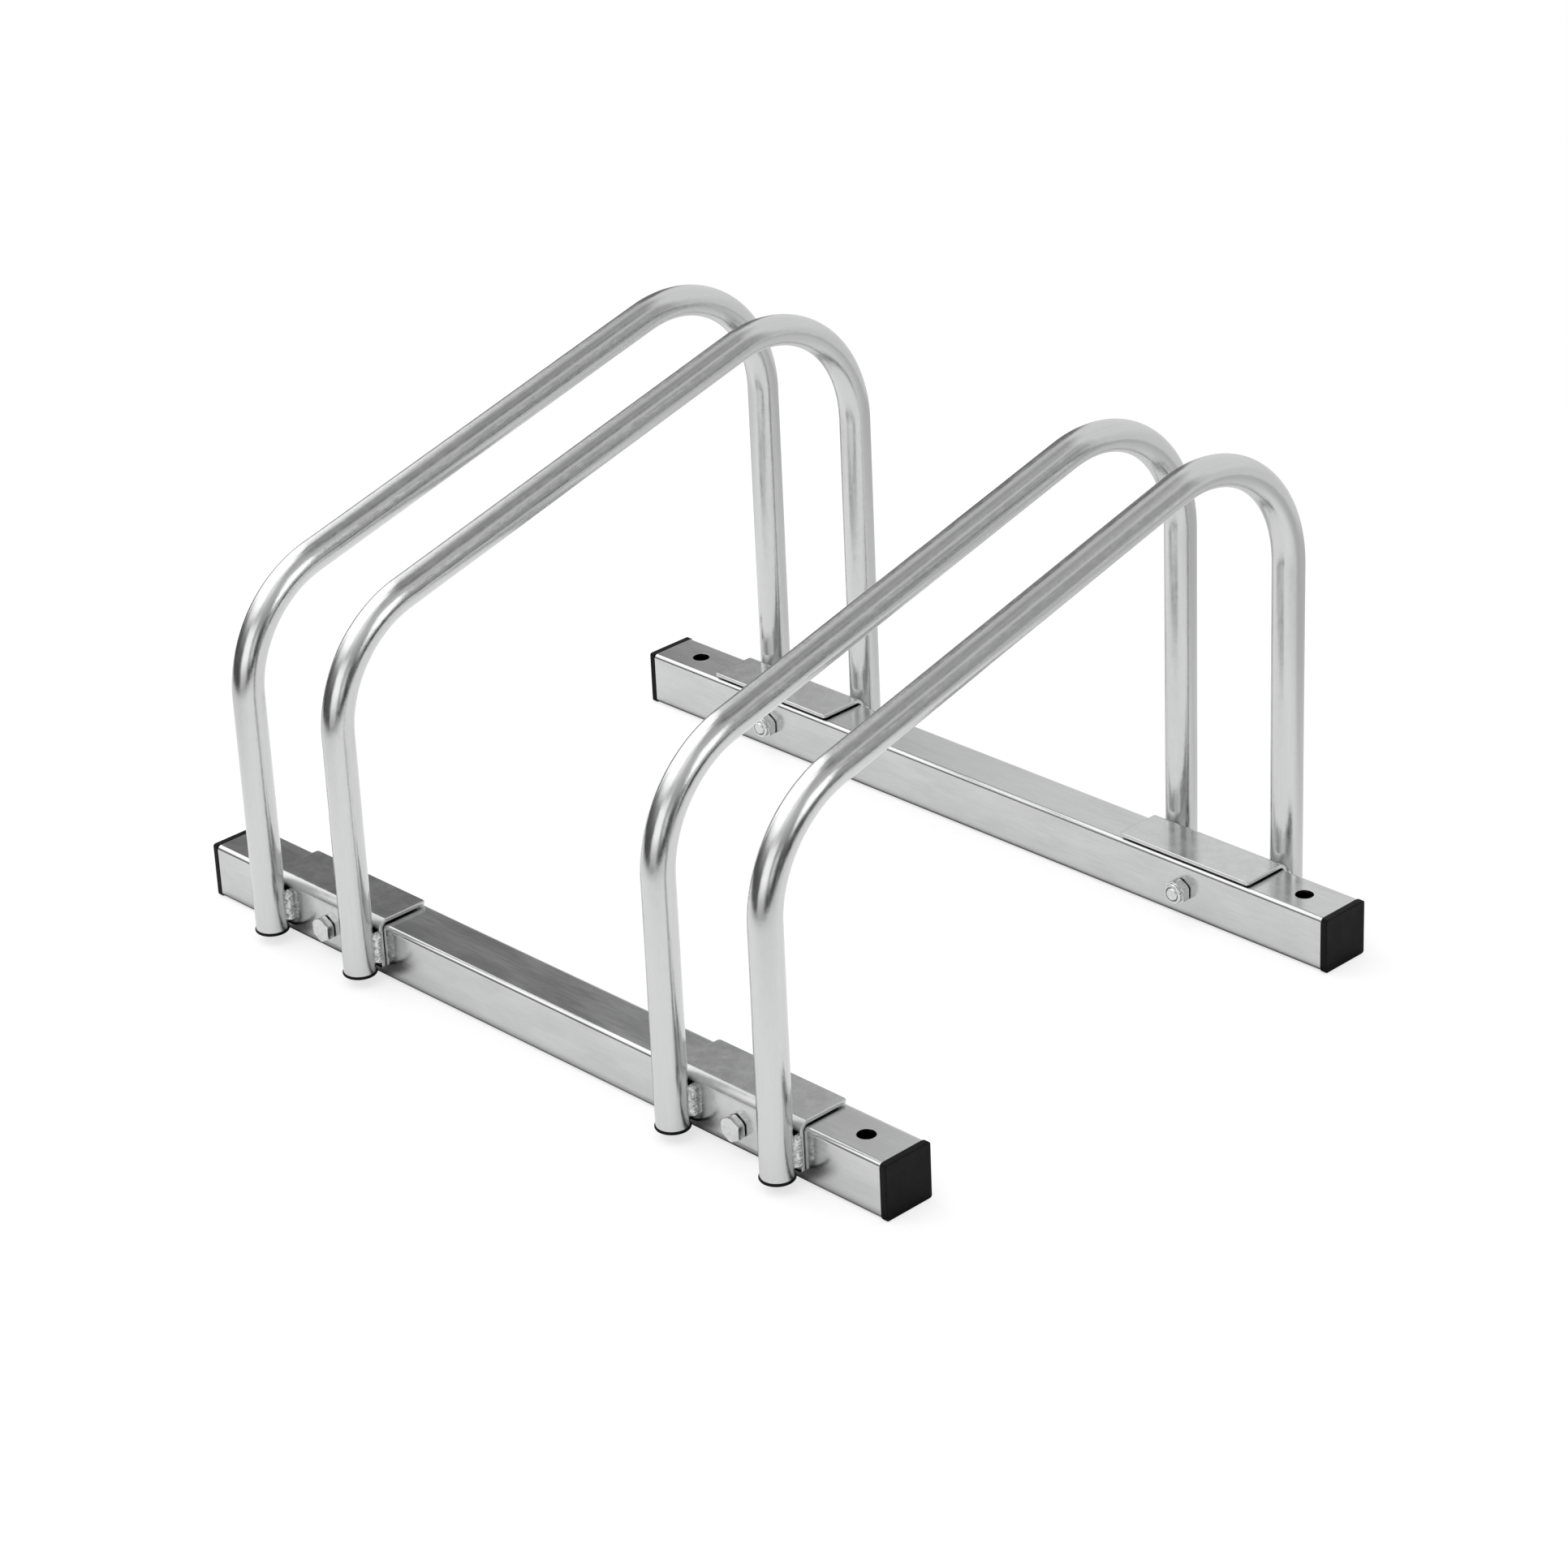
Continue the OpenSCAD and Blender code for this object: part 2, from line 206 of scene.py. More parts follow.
studio = {
    "floorRadius": 0.7,
    "floorSegments": 128,
    "floorDrop": 0.0003,  # under the rails
    "floorColor": 0.86,  # as the light and the metal meet it
    "floorMirroredGlow": 0.22,  # a glow round the rack that only the metal meets
    "floorGlowReach": (0.3, 0.55),  # where that starts to fade, and where it ends
    "floorContact": 0.006,  # how near a piece the floor darkens for the metal, as a painted contact shadow
    "floorContactPower": 2.5,
    "floorContactSamples": 4,
    "floorLitFrom": (0, 0.35, 0),  # middle of the lit part of the floor
    "floorFade": (0.78, 1.14),  # distances from there at which it starts to fade, and ends
    "floorFadeLevel": 0.1,  # the share of light left beyond
    "floorRear": (0.12, 0.27),  # Y between which the floor grows darker for the metal, as painted shade
    "floorRearLevel": 0.74,  # the share of light left there
    "floorSeenColor": 0.4,  # as the camera meets it, with a glow that brings it to white
    "floorSeenGlow": 0.68,
    # elevation in degrees and brightness of the room behind the windows
    "roomLevels": [(-90, 0.1), (-4, 0.1), (8, 0.16), (22, 0.43), (38, 0.65), (56, 0.67),
                   (66, 0.53), (72, 0.44), (78, 0.33), (84, 0.5), (90, 0.64)],
    # azimuth from +Y towards +X and elevation of each middle, sizes, soft edges, brightness,
    # and for some a tilt, which lifts a window as its azimuth grows
    "windows": {
        "leftGap": dict(middle=(-56, 18), size=(20, 44), soft=(3, 5), level=0.22),
        "leftBoxTop": dict(middle=(178, 67), size=(76, 44), soft=(18, 10), level=1.14),
        "leftBox": dict(middle=(-124.5, 57), size=(116, 66), soft=(6, 11), level=1.7, tilt=-0.33),
        "leftBoxLow": dict(middle=(-82, 20), size=(32, 34), soft=(5, 6), level=1.7),
        "backWall": dict(middle=(3, 14), size=(98, 94), soft=(4, 10), level=0.93),
        "backWallLow": dict(middle=(3, -16), size=(98, 46), soft=(4, 9), level=0.84),
        "rightGap": dict(middle=(59, 25), size=(16, 62), soft=(5, 8), level=0.46),
        "rightHigh": dict(middle=(100, 74), size=(66, 26), soft=(14, 8), level=0.6),
        "rightGapTop": dict(middle=(58, 69), size=(28, 26), soft=(10, 8), level=0.26),
        "rightGlint": dict(middle=(58, 45), size=(18, 11), soft=(5, 4), level=0.78),
        "rightBox": dict(middle=(85, 24), size=(29, 29), soft=(3, 4), level=1.9, tilt=0.25),
        "frontLow": dict(middle=(168, -6), size=(40, 20), soft=(8, 6), level=0.66),
        "frontBox": dict(middle=(168, 15), size=(44, 32), soft=(8, 8), level=1.42),
        "frontStand": dict(middle=(129, 8), size=(18, 18), soft=(5, 5), level=0.92),
    },
}


def windowMask(tree, azimuth, elevation, window):
    across = mathNode(tree, "SUBTRACT", azimuth, window["middle"][0])
    across = mathNode(tree, "WRAP", across, 180, -180)
    upright = mathNode(tree, "SUBTRACT", elevation, window["middle"][1])
    upright = mathNode(tree, "MULTIPLY_ADD", across, -window.get("tilt", 0), upright)
    masks = []
    for away, size, soft in zip((across, upright), window["size"], window["soft"]):
        away = mathNode(tree, "ABSOLUTE", away)
        masks.append(remap(tree, away, size / 2 - soft, size / 2 + soft, 1, 0, True))
    return mathNode(tree, "MULTIPLY", *masks)


def addWorld():
    world = bpy.data.worlds.new("studioWorld")
    bpy.context.scene.world = world
    world.use_nodes = True
    tree = world.node_tree
    tree.nodes.clear()
    parts = addNode(tree, "ShaderNodeSeparateXYZ")
    tree.links.new(addNode(tree, "ShaderNodeTexCoord").outputs["Generated"], parts.inputs[0])
    degrees = 180 / math.pi
    elevation = mathNode(tree, "MULTIPLY", mathNode(tree, "ARCSINE", parts.outputs["Z"]), degrees)
    azimuth = mathNode(tree, "ARCTAN2", parts.outputs["X"], parts.outputs["Y"])
    azimuth = mathNode(tree, "MULTIPLY", azimuth, degrees)
    ramp = addNode(tree, "ShaderNodeValToRGB")
    tree.links.new(remap(tree, elevation, -90, 90, 0, 1), ramp.inputs[0])
    levels = studio["roomLevels"]
    while len(ramp.color_ramp.elements) < len(levels):
        ramp.color_ramp.elements.new(0.5)
    for element, (height, level) in zip(ramp.color_ramp.elements, levels):
        element.position = (height + 90) / 180
        element.color = (level, level, level, 1)
    color = ramp.outputs["Color"]
    for window in studio["windows"].values():
        mask = windowMask(tree, azimuth, elevation, window)
        color = blendColors(tree, mask, color, (window["level"],) * 3)
    light = addNode(tree, "ShaderNodeBackground")
    tree.links.new(color, light.inputs["Color"])
    white = addNode(tree, "ShaderNodeBackground")
    white.inputs["Color"].default_value = (1, 1, 1, 1)
    mix = addNode(tree, "ShaderNodeMixShader")
    tree.links.new(addNode(tree, "ShaderNodeLightPath").outputs["Is Camera Ray"], mix.inputs[0])
    tree.links.new(light.outputs[0], mix.inputs[1])
    tree.links.new(white.outputs[0], mix.inputs[2])
    tree.links.new(mix.outputs[0], addNode(tree, "ShaderNodeOutputWorld").inputs["Surface"])


def paleFloor():
    material, tree = newMaterial("paleFloor")
    links = tree.links
    path = addNode(tree, "ShaderNodeLightPath")
    seen, mirrored = path.outputs["Is Camera Ray"], path.outputs["Is Glossy Ray"]
    # Painted contact shadow: near a piece the floor grows darker for the metal, and its glow is dimmed
    # there too
    corner = addNode(tree, "ShaderNodeAmbientOcclusion", samples=studio["floorContactSamples"])
    corner.inputs["Distance"].default_value = studio["floorContact"]
    contact = mathNode(tree, "POWER", corner.outputs["AO"], studio["floorContactPower"])
    place = objectCoordinate(tree)
    parts = addNode(tree, "ShaderNodeSeparateXYZ")
    links.new(place, parts.inputs[0])
    # Painted shade: the floor grows darker towards the rear for the metal
    rear = remap(tree, parts.outputs["Y"], *studio["floorRear"], 1, studio["floorRearLevel"], True)
    contact = mathNode(tree, "MULTIPLY", contact, rear)
    lit = addNode(tree, "ShaderNodeVectorMath", operation="DISTANCE")
    links.new(place, lit.inputs[0])
    lit.inputs[1].default_value = studio["floorLitFrom"]
    lit = remap(tree, lit.outputs["Value"], *studio["floorFade"], 1, studio["floorFadeLevel"], True)
    lit = mathNode(tree, "MULTIPLY", lit, contact)
    dimmed = blendColors(tree, lit, (0, 0, 0), (studio["floorColor"],) * 3)
    color = blendColors(tree, seen, dimmed, (studio["floorSeenColor"],) * 3)
    paint = addNode(tree, "ShaderNodeBsdfDiffuse")
    links.new(color, paint.inputs["Color"])
    away = addNode(tree, "ShaderNodeVectorMath", operation="LENGTH")
    links.new(place, away.inputs[0])
    most = studio["floorMirroredGlow"]
    level = remap(tree, away.outputs["Value"], *studio["floorGlowReach"], most, 0, True)
    level = mathNode(tree, "MULTIPLY", mirrored, mathNode(tree, "MULTIPLY", level, contact))
    level = mathNode(tree, "MULTIPLY_ADD", seen, studio["floorSeenGlow"], level)
    glow = addNode(tree, "ShaderNodeEmission")
    links.new(level, glow.inputs["Strength"])
    both = addNode(tree, "ShaderNodeAddShader")
    links.new(paint.outputs[0], both.inputs[0])
    links.new(glow.outputs[0], both.inputs[1])
    links.new(both.outputs[0], addNode(tree, "ShaderNodeOutputMaterial").inputs["Surface"])
    return material


def addFloor():
    mesh = bpy.data.meshes.new("floor")
    bm = bmesh.new()
    segments, radius = studio["floorSegments"], studio["floorRadius"]
    bmesh.ops.create_circle(bm, cap_ends=True, radius=radius, segments=segments)
    bm.to_mesh(mesh)
    bm.free()
    floor = bpy.data.objects.new("floor", mesh)
    floor.location.z = cadBox[0][2] - studio["floorDrop"]
    mesh.materials.append(paleFloor())
    bpy.context.scene.collection.objects.link(floor)


addWorld()
addFloor()
bpy.context.scene.view_settings.view_transform = "Standard"
print("studio lit")


# Finishes. Each noise is given by its scale, detail, roughness and, if it has one, its stretch;
# a span is the part of it that is spread over the two colours or roughnesses.

def grey(level):
    return (level, level * 1.004, level * 1.006)


tubeFinish = {
    "streaks": (1500, 5, 0.65, (1, 1, 0.02)),
    "patches": (450, 4, 0.65, (1, 1, 0.5)),
    "grain": (2200, 3, 0.6),
    "color": (0.59, 0.63),
    "colorSpan": (0.3, 0.7),  # of the streaks
    "roughness": (0.1, 0.24),
    "roughnessSpan": (0.85, 1.2),  # of streaks and patches together
    "patchHeight": 0.00004,
    "streakHeight": 0.000002,
    "grainHeight": 0.00002,
}


def zincTube(look):
    material, tree = newMaterial("zincTube")
    place = attributeCoordinate(tree, "tubePlace")
    streaks = noiseField(tree, place, *look["streaks"])
    patches = noiseField(tree, place, *look["patches"])
    grain = noiseField(tree, place, *look["grain"])
    color = remap(tree, streaks, *look["colorSpan"], 0, 1)
    color = blendColors(tree, color, *map(grey, look["color"]))
    both = mathNode(tree, "ADD", streaks, patches)
    roughness = remap(tree, both, *look["roughnessSpan"], *look["roughness"])
    normal = bumpFrom(tree, patches, look["patchHeight"])
    normal = bumpFrom(tree, streaks, look["streakHeight"], normal)
    normal = bumpFrom(tree, grain, look["grainHeight"], normal)
    finishShader(tree, Base_Color=color, Metallic=1.0, Roughness=roughness, Normal=normal)
    return material


sheetFinish = {
    "rail": {"clouds": (110, 5, 0.6, (0.3, 1, 1)), "lines": (1400, 3, 0.6, (0.04, 1, 1))},
    "bracket": {"clouds": (170, 5, 0.6), "lines": (1400, 3, 0.6)},
    "grain": (2200, 2, 0.6),
    "cloudShare": 0.6,  # the lines have the rest
    "color": (0.54, 0.64),
    "colorSpan": (0.35, 0.65),
    "roughness": (0.14, 0.22),
    "roughnessSpan": (0.38, 0.62),
    "cloudHeight": 0.00002,
    "lineHeight": 0.000004,
    "grainHeight": 0.000006,
    "bendWear": 0.2,  # added to the roughness where a bracket is bent
    "bendFromSide": (0.0045, 0.003),  # where the wear starts and is full, under the side's face
    "bendFromTop": (0.0052, 0.0036),  # the same, under the top
}


def bendWear(tree, place, look):
    # The bend runs along the top outer edge of every bracket, at the same distances
    low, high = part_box("bracket_front_left")
    outer, top = -low.y, high.z
    parts = addNode(tree, "ShaderNodeSeparateXYZ")
    tree.links.new(place, parts.inputs[0])
    across = mathNode(tree, "ABSOLUTE", parts.outputs["Y"])
    across = remap(tree, across, *(outer - d for d in look["bendFromSide"]), 0, 1)
    spans = (top - d for d in look["bendFromTop"])
    upright = remap(tree, parts.outputs["Z"], *spans, 0, look["bendWear"])
    return mathNode(tree, "MULTIPLY", across, upright)


def zincSheet(name, look, part, bent=False):
    material, tree = newMaterial(name)
    place = objectCoordinate(tree)
    clouds = noiseField(tree, place, *look[part]["clouds"])
    lines = noiseField(tree, place, *look[part]["lines"])
    grain = noiseField(tree, place, *look["grain"])
    share = look["cloudShare"]
    mixed = mathNode(tree, "MULTIPLY_ADD", clouds, share, mathNode(tree, "MULTIPLY", lines, 1 - share))
    color = remap(tree, mixed, *look["colorSpan"], 0, 1)
    color = blendColors(tree, color, *map(grey, look["color"]))
    roughness = remap(tree, mixed, *look["roughnessSpan"], *look["roughness"])
    if bent:
        roughness = mathNode(tree, "ADD", roughness, bendWear(tree, place, look))
    normal = bumpFrom(tree, clouds, look["cloudHeight"])
    normal = bumpFrom(tree, lines, look["lineHeight"], normal)
    normal = bumpFrom(tree, grain, look["grainHeight"], normal)
    finishShader(tree, Base_Color=color, Metallic=1.0, Roughness=roughness, Normal=normal)
    return material


weldFinish = {
    "lumps": (700, 4, 0.6),
    "specks": (2600, 2, 0.6),
    "color": (0.4, 0.72),
    "colorSpan": (0.35, 0.6),  # of the lumps
    "roughness": (0.1, 0.24),
    "roughnessSpan": (0.35, 0.65),  # of the specks
    "lumpHeight": 0.0004,
}

fastenerFinish = {
    "lumps": (700, 4, 0.6),
    "specks": (700, 4, 0.6),
    "color": (0.62, 0.72),
    "colorSpan": (0.35, 0.65),
    "roughness": (0.12, 0.2),
    "roughnessSpan": (0.35, 0.65),
    "lumpHeight": 0.00001,
}


def lumpyMetal(name, look):
    material, tree = newMaterial(name)
    place = objectCoordinate(tree)
    lumps = noiseField(tree, place, *look["lumps"])
    specks = noiseField(tree, place, *look["specks"])
    color = remap(tree, lumps, *look["colorSpan"], 0, 1)
    color = blendColors(tree, color, *map(grey, look["color"]))
    roughness = remap(tree, specks, *look["roughnessSpan"], *look["roughness"])
    normal = bumpFrom(tree, lumps, look["lumpHeight"])
    finishShader(tree, Base_Color=color, Metallic=1.0, Roughness=roughness, Normal=normal)
    return material


plasticFinish = {
    "clouds": (180, 3, 0.5),
    "grain": (3500, 2, 0.6),
    "shades": (0.8, 1.25),  # darkest and lightest share of the level
    "roughnessSpan": (0.3, 0.7),
    "plug": {"level": 0.003, "roughness": (0.45, 0.55), "gloss": 0.1, "grainHeight": 0.00004},
    "cap": {"level": 0.003, "roughness": (0.33, 0.43), "gloss": 0.12, "grainHeight": 0.00001},
}


def blackPlastic(name, look, part):
    material, tree = newMaterial(name)
    place = objectCoordinate(tree)
    grain = noiseField(tree, place, *look["grain"])
    clouds = noiseField(tree, place, *look["clouds"])
    own = look[part]
    color = blendColors(tree, clouds, *(grey(own["level"] * share) for share in look["shades"]))
    rough = remap(tree, clouds, *look["roughnessSpan"], *own["roughness"])
    normal = bumpFrom(tree, grain, own["grainHeight"])
    finishShader(tree, Base_Color=color, Roughness=rough, Normal=normal, Specular_IOR_Level=own["gloss"])
    return material


ringFinish = {
    "clouds": (900, 2, 0.5),
    # the ring's own nylon tone, darkened to grey as painted shade for the pocket it sits in
    "pocketShadedColors": ((0.3, 0.31, 0.3), (0.4, 0.41, 0.4)),
    "roughness": 0.4,
    "cloudHeight": 0.00002,
}


def nylon(look):
    material, tree = newMaterial("nylon")
    clouds = noiseField(tree, objectCoordinate(tree), *look["clouds"])
    # Nylon tone darkened to grey: painted shade of the nut's pocket
    color = blendColors(tree, clouds, *look["pocketShadedColors"])
    normal = bumpFrom(tree, clouds, look["cloudHeight"])
    finishShader(tree, Base_Color=color, Roughness=look["roughness"], Normal=normal)
    return material


materials = {
    "tube": zincTube(tubeFinish),
    "rail": zincSheet("zincRail", sheetFinish, "rail"),
    "bracket": zincSheet("zincBracket", sheetFinish, "bracket", bent=True),
    "weld": lumpyMetal("weldMetal", weldFinish),
    "fastener": lumpyMetal("fastenerZinc", fastenerFinish),
    "plug": blackPlastic("plugPlastic", plasticFinish, "plug"),
    "cap": blackPlastic("capPlastic", plasticFinish, "cap"),
    "ring": nylon(ringFinish),
}
print("finishes made")


# Mesh helpers

roundingMiddle = 0.3  # how deep a small rounding's middle lies under both faces, as a share of its radius


def shadeSmooth(mesh, sharpAngle):
    mesh.shade_smooth()
    mesh.set_sharp_from_angle(angle=math.radians(sharpAngle))


def makePiece(name, vertices, faces, material, sharpAngle=35):
    mesh = bpy.data.meshes.new(name)
    mesh.from_pydata([tuple(v) for v in vertices], [], faces)
    bm = bmesh.new()
    bm.from_mesh(mesh)
    bmesh.ops.recalc_face_normals(bm, faces=bm.faces)
    bm.to_mesh(mesh)
    bm.free()
    mesh.materials.append(material)
    shadeSmooth(mesh, sharpAngle)
    piece = bpy.data.objects.new(name, mesh)
    bpy.context.scene.collection.objects.link(piece)
    return piece


def dress(piece, node):
    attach(piece, "root")
    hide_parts(node)


def evenNormals(piece):
    modifier = piece.modifiers.new("evenNormals", "WEIGHTED_NORMAL")
    modifier.mode = "FACE_AREA"
    modifier.weight = 60
    modifier.keep_sharp = True


def ringFaces(ringCount, pointCount, closed):
    # Faces between rings of points; closed joins the last ring to the first
    faces = []
    for i in range(ringCount if closed else ringCount - 1):
        a, b = i * pointCount, (i + 1) % ringCount * pointCount
        for j in range(pointCount):
            k = (j + 1) % pointCount
            faces.append((a + j, a + k, b + k, b + j))
    return faces


def cappedFaces(ringCount, pointCount, first=0):
    # The same with a face at both ends, for points that start at the first
    last = (ringCount - 1) * pointCount
    faces = ringFaces(ringCount, pointCount, False)
    faces += [tuple(range(pointCount)), tuple(range(last, last + pointCount))]
    return [tuple(first + i for i in face) for face in faces]


def roundSquare(half, radius, segments):
    # Points of a square with round corners, anticlockwise
    points = []
    for corner in range(4):
        start = corner * math.pi / 2
        middle = Vector((half - radius, half - radius))
        middle.rotate(Matrix.Rotation(start, 2))
        for i in range(segments + 1):
            turn = start + i / segments * math.pi / 2
            points.append(middle + radius * Vector((math.cos(turn), math.sin(turn))))
    return points


# Drilled holes

holeLook = {
    "chamfer": 0.00006,
    "over": 0.001,  # how far the cutter stands out
    "sides": 64,
}


def holeCutter(radius, halfDepth, matrix):
    chamfer, over, count = holeLook["chamfer"], holeLook["over"], holeLook["sides"]
    profile = [
        (radius + chamfer + over, -halfDepth - over),
        (radius, -halfDepth + chamfer),
        (radius, halfDepth - chamfer),
        (radius + chamfer + over, halfDepth + over),
    ]
    points = []
    for r, z in profile:
        for i in range(count):
            turn = 2 * math.pi * i / count
            points.append(matrix @ Vector((r * math.cos(turn), r * math.sin(turn), z)))
    return makePiece("cutter", points, cappedFaces(len(profile), count), materials["rail"])


def cutAway(piece, cutters, sharpAngle):
    for cutter in cutters:
        modifier = piece.modifiers.new("cut", "BOOLEAN")
        modifier.operation = "DIFFERENCE"
        modifier.solver = "EXACT"
        modifier.object = cutter
    dg = bpy.context.evaluated_depsgraph_get()
    cut = bpy.data.meshes.new_from_object(piece.evaluated_get(dg))
    piece.modifiers.clear()
    old = piece.data
    piece.data = cut
    bpy.data.meshes.remove(old)
    for cutter in cutters:
        bpy.data.objects.remove(cutter)
    shadeSmooth(piece.data, sharpAngle)


def boltMatrix(x, y, side, end):
    # Lays a cutter across the rail, at the height of the bolt there
    low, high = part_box("bolt_" + side + "_" + end)
    spot = Vector((x, y, (low.z + high.z) / 2))
    return Matrix.Translation(spot) @ Matrix.Rotation(math.pi / 2, 4, "X")


# Hoops

hoopLook = {
    "radius": 0.007,
    "wall": 0.0012,
    "frontBend": 0.053,
    "rearBend": 0.057,
    "slope": 14.5,
    "flattening": 0.02,  # of the tube's height in the bends, as a share
    "sides": 56,
    "straightStep": 0.008,
    "bendStep": 2.0,
    "bendEnds": 0.2,  # share of a bend over which it flattens and comes back
    "streakShift": 0.7,  # so that no two hoops share their streaks
    "sharpAngle": 40,
}


def hoopLine(legY, endZ, topZ):
    # (point in Y and Z, heading in radians, how far into a bend) along the tube's middle
    slope = math.radians(hoopLook["slope"])
    frontR, rearR = hoopLook["frontBend"], hoopLook["rearBend"]
    rear = Vector((legY - rearR, topZ - rearR))
    front = Vector((frontR - legY, 0))
    front.y = rear.y - (rear.x - front.x) * math.tan(slope) + (rearR - frontR) / math.cos(slope)
    line = []

    def straight(start, end, heading):
        count = max(2, round((end - start).length / hoopLook["straightStep"]))
        line.extend((start.lerp(end, i / count), heading, 0.0) for i in range(count))

    def onBend(middle, radius, heading):
        return middle + radius * Vector((-math.sin(heading), math.cos(heading)))

    def bend(middle, radius, first, last):
        count = round(math.degrees(first - last) / hoopLook["bendStep"])
        for i in range(count):
            share = i / count
            heading = first + (last - first) * share
            blend = min(1.0, min(share, 1 - share) / hoopLook["bendEnds"])
            line.append((onBend(middle, radius, heading), heading, blend))

    up, down = math.pi / 2, -math.pi / 2
    straight(Vector((-legY, endZ)), onBend(front, frontR, up), up)
    bend(front, frontR, up, slope)
    straight(onBend(front, frontR, slope), onBend(rear, rearR, slope), slope)
    bend(rear, rearR, slope, down)
    straight(onBend(rear, rearR, down), Vector((legY, endZ)), down)
    line.append((Vector((legY, endZ)), down, 0.0))
    return line


def hoopRings(line, x, radius):
    # Points of the tube's face, and each one's place on the tube as if it were straight
    rings, places = [], []
    along = 0.0
    last = line[0][0]
    for point, heading, blend in line:
        along += (point - last).length
        last = point
        outward = Vector((0, -math.sin(heading), math.cos(heading)))
        middle = Vector((x, point.x, point.y))
        height = radius * (1 - hoopLook["flattening"] * blend * blend * (3 - 2 * blend))
        for i in range(hoopLook["sides"]):
            turn = 2 * math.pi * i / hoopLook["sides"]
            across = Vector((radius * math.cos(turn), 0, 0))
            rings.append(middle + across + outward * height * math.sin(turn))
            places.append((radius * math.cos(turn), radius * math.sin(turn), along))
    return rings, places


def addHoop(name):
    node = "hoop_" + name
    low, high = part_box(node)
    radius = hoopLook["radius"]
    x = (low.x + high.x) / 2
    line = hoopLine((high.y - low.y) / 2 - radius, low.z, high.z - radius)
    outer, outerPlaces = hoopRings(line, x, radius)
    bore, borePlaces = hoopRings(line[::-1], x, radius - hoopLook["wall"])
    faces = ringFaces(2 * len(line), hoopLook["sides"], True)
    piece = makePiece("hoopTube_" + name, outer + bore, faces, materials["tube"], hoopLook["sharpAngle"])
    places = piece.data.attributes.new("tubePlace", "FLOAT_VECTOR", "POINT")
    offset = hoopLook["streakShift"] * hoopNames.index(name)
    flat = [value for a, b, c in outerPlaces + borePlaces for value in (a, b, c + offset)]
    places.data.foreach_set("vector", flat)
    dress(piece, node)


for hoopName in hoopNames:
    addHoop(hoopName)
print("hoops bent")


# Floor rails

railLook = {
    "cornerRadius": 0.0022,
    "wall": 0.0015,
    "cornerSegments": 8,
    "endRounding": 0.0002,
    "fixHole": 0.004,  # radii of the holes
    "fixInset": 0.019,
    "boltHole": 0.0033,
    "sharpAngle": 35,
}


def addRail(side):
    node = side + "_rail"
    low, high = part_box(node)
    middle = (low + high) / 2
    half, halfL = (high.z - low.z) / 2, (high.x - low.x) / 2
    corner, soft = railLook["cornerRadius"], railLook["endRounding"]
    mid = soft * roundingMiddle
    boreHalf = half - railLook["wall"]
    boreCorner = corner - railLook["wall"]
    # (X, half width, corner radius) round the wall of the tube
    sections = [
        (-halfL + soft, half, corner),
        (halfL - soft, half, corner),
        (halfL - mid, half - mid, corner - mid),
        (halfL, half - soft, corner - soft),
        (halfL, boreHalf + soft, boreCorner + soft),
        (halfL - soft, boreHalf, boreCorner),
        (-halfL + soft, boreHalf, boreCorner),
        (-halfL, boreHalf + soft, boreCorner + soft),
        (-halfL, half - soft, corner - soft),
        (-halfL + mid, half - mid, corner - mid),
    ]
    points = []
    for x, wide, radius in sections:
        for p in roundSquare(wide, radius, railLook["cornerSegments"]):
            points.append(middle + Vector((x, p.x, p.y)))
    faces = ringFaces(len(sections), 4 * (railLook["cornerSegments"] + 1), True)
    piece = makePiece("railTube_" + side, points, faces, materials["rail"])
    cutters = []
    for end, way in ends.items():
        spot = middle + Vector((way * (halfL - railLook["fixInset"]), 0, 0))
        cutters.append(holeCutter(railLook["fixHole"], half, Matrix.Translation(spot)))
        boltLow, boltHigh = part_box("bolt_" + side + "_" + end)
        lying = boltMatrix((boltLow.x + boltHigh.x) / 2, middle.y, side, end)
        cutters.append(holeCutter(railLook["boltHole"], half, lying))
    cutAway(piece, cutters, railLook["sharpAngle"])
    evenNormals(piece)
    dress(piece, node)


for sideName in sides:
    addRail(sideName)
print("rails drawn and drilled")


# Rail plugs

plugLook = {
    "corner": 0.0012,
    "segments": 6,
    "edge": 0.0004,  # softness of the head's outer edges
    "edgeSteps": 4,
    "edgeStart": 1.3,  # from the side, as a share of the edge
    "edgeCorner": 0.5,  # how much the corner tightens with the edge
    "dish": 0.00012,  # sink of the face inside its border
    "border": 0.0022,
    "borderSlope": 0.0003,
    "innerRing": 0.5,
    "foot": [(0.0006, 0.0), (0.0002, 0.00004), (0.0, 0.0003)],  # (out, inset) of the head at the rail
    "shank": 0.012,
    "shankHalf": 0.0101,
    "shankWall": 0.0016,
    "shankCorner": 0.0007,
    "ribHalf": 0.0109,
    "ribs": 3,
    "ribWidth": 0.001,
    "ribSlope": 0.0003,
    "sharpAngle": 60,
}


